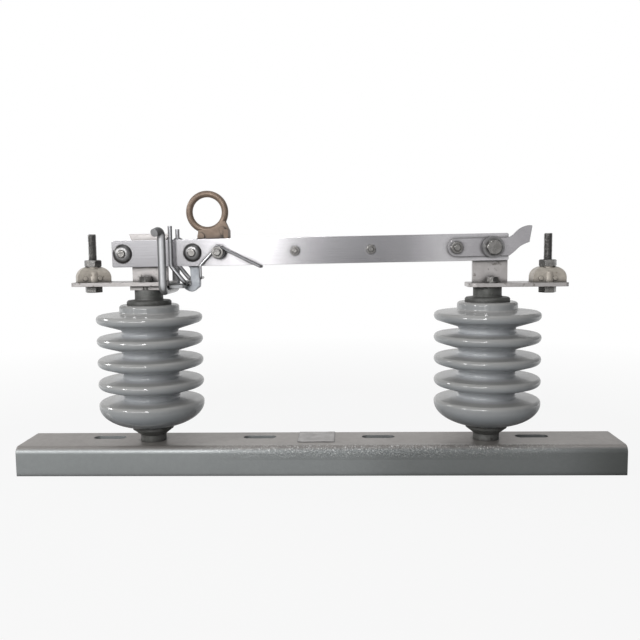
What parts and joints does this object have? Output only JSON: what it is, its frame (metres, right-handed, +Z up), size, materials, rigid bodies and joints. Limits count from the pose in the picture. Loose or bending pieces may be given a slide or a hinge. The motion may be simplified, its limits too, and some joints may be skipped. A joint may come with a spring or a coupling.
{
  "type": "hook-stick disconnect switch",
  "caption": "Outdoor knife disconnect switch: hinged blade with pull ring and latch between ribbed post insulators on a steel channel base.",
  "frame": {"origin": "middle of the base's underside, on the plane of the channel's edges", "axes": "+X along the base to the hinge end, +Y to the back, +Z up"},
  "size_m": [0.72, 0.1266, 0.3363],
  "materials": {
    "galvanised_steel": "dull galvanised",
    "porcelain": "glossy grey glaze",
    "cast_iron": "galvanised casting, weathered",
    "tinned_copper": "tin plated bar with a drawn grain",
    "tinned_plate": "dull tin plated plate",
    "bronze": "weathered bronze casting",
    "zinc": "bright zinc plated",
    "steel_fastener": "zinc plated bolts and nuts",
    "clamp_metal": "cast, dull"
  },
  "bodies": {
    "root": {"attachment_hook": "galvanised_steel", "base_channel": "galvanised_steel", "hinge_clamp": "clamp_metal", "hinge_foot_bolt": "steel_fastener", "hinge_insulator_cap": "cast_iron", "hinge_insulator_foot": "cast_iron", "hinge_pad": "tinned_plate", "hinge_pad_bolts": "steel_fastener", "hinge_porcelain": "porcelain", "hinge_terminal_nut": "steel_fastener", "hinge_terminal_stud": "steel_fastener", "hinge_tongue": "tinned_plate", "hook_plate": "tinned_plate", "jaw_clamp": "clamp_metal", "jaw_foot_bolt": "steel_fastener", "jaw_insulator_cap": "cast_iron", "jaw_insulator_foot": "cast_iron", "jaw_pad": "tinned_plate", "jaw_pad_bolts": "steel_fastener", "jaw_porcelain": "porcelain", "jaw_terminal_nut": "steel_fastener", "jaw_terminal_stud": "steel_fastener", "jaw_tongue": "tinned_plate", "keeper_bail": "zinc", "keeper_fork": "galvanised_steel", "pivot_bolt": "steel_fastener", "pivot_nut": "steel_fastener", "pivot_washers": "zinc"},
    "blade": {"blade_bar_front": "tinned_copper", "blade_bar_back": "tinned_copper", "blade_spacers": "steel_fastener", "blade_spacer_bolts": "steel_fastener", "contact_cups": "zinc", "contact_bolt": "steel_fastener", "latch_pivot_cups": "zinc", "latch_pivot_bolt": "steel_fastener", "spring_bolt": "steel_fastener", "stop_strap": "tinned_plate", "strap_bolt": "steel_fastener"},
    "latch": {"pull_ring": "bronze", "latch_hook": "galvanised_steel", "latch_spring": "steel_fastener"}
  },
  "joints": [
    {"name": "blade_hinge", "type": "hinge", "parent": "root", "child": "blade", "pos_m": [0.2055, 0, 0.266], "axis": [0, 1, 0], "range_deg": [0, 80]},
    {"name": "latch_pivot", "type": "hinge", "parent": "blade", "child": "latch", "pos_m": [-0.14709, 0, 0.26317], "axis": [0, -1, 0], "range_deg": [0, 25], "stiffness_Nm_per_rad": 0.3, "springref_deg": -20.05, "deforming": ["latch_spring"]}
  ]
}
